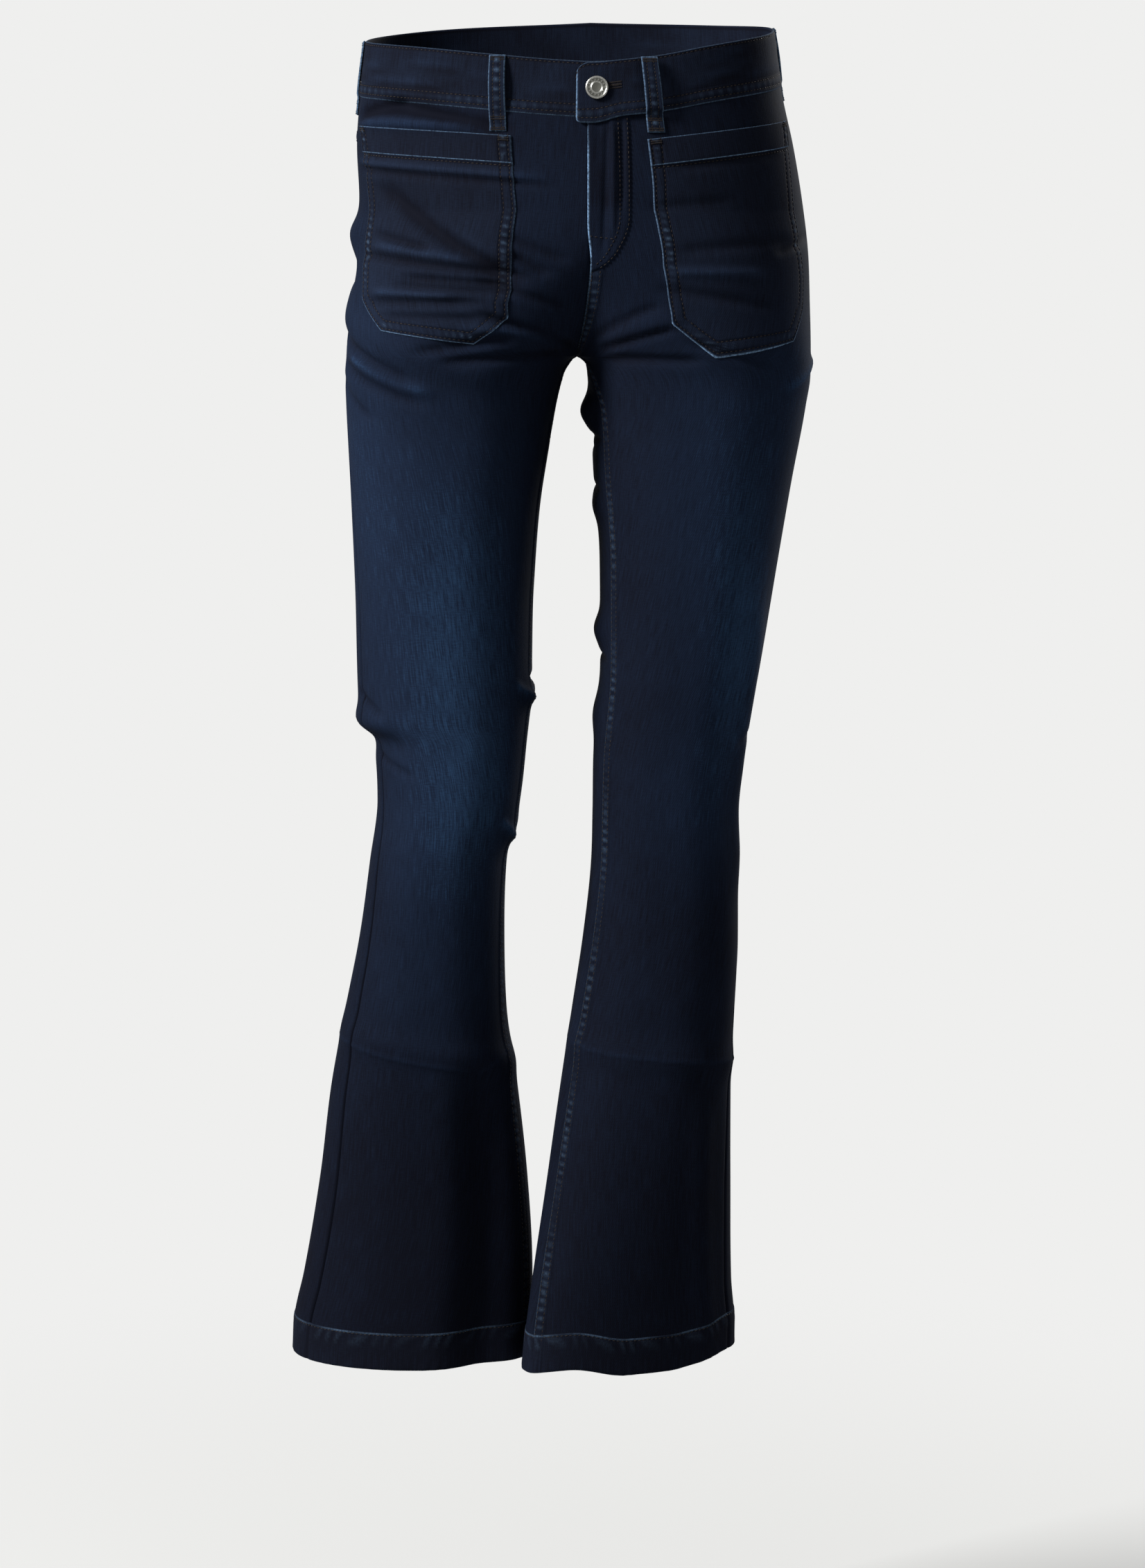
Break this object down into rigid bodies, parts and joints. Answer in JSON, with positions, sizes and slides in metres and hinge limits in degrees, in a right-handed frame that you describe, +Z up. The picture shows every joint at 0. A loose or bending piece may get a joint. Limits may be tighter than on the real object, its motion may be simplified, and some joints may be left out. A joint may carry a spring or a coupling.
{
  "type": "bootcut jeans",
  "caption": "Bootcut denim jeans, empty and in their worn shape, with a lapped button waist, front patch pockets, a back yoke and flared hems.",
  "frame": {"origin": "the middle of the waist, where the wearer holds the garment up, at the height of the waistband's upper edge at the sides", "axes": "+Z up, -Y to the front, +X to the wearer's left"},
  "size_m": [0.4121, 0.2468, 1.063],
  "materials": {
    "denim": "dark indigo twill, matt, faded on the thighs",
    "denim_doubled": "dark indigo twill in two or more layers, worn light along its edges",
    "button_metal": "nickel-plated brass, satin, lightly worn"
  },
  "bodies": {
    "root": {"front_left": "denim", "front_right": "denim", "back_left": "denim", "back_right": "denim", "yoke_left": "denim", "yoke_right": "denim", "waistband": "denim_doubled", "fly_lap": "denim", "pocket_left": "denim", "pocket_right": "denim", "pocket_band_left": "denim_doubled", "pocket_band_right": "denim_doubled", "hem_left": "denim_doubled", "hem_right": "denim_doubled", "belt_loop_1": "denim_doubled", "belt_loop_2": "denim_doubled", "belt_loop_3": "denim_doubled", "belt_loop_4": "denim_doubled", "belt_loop_5": "denim_doubled", "button": "button_metal"}
  },
  "joints": []
}
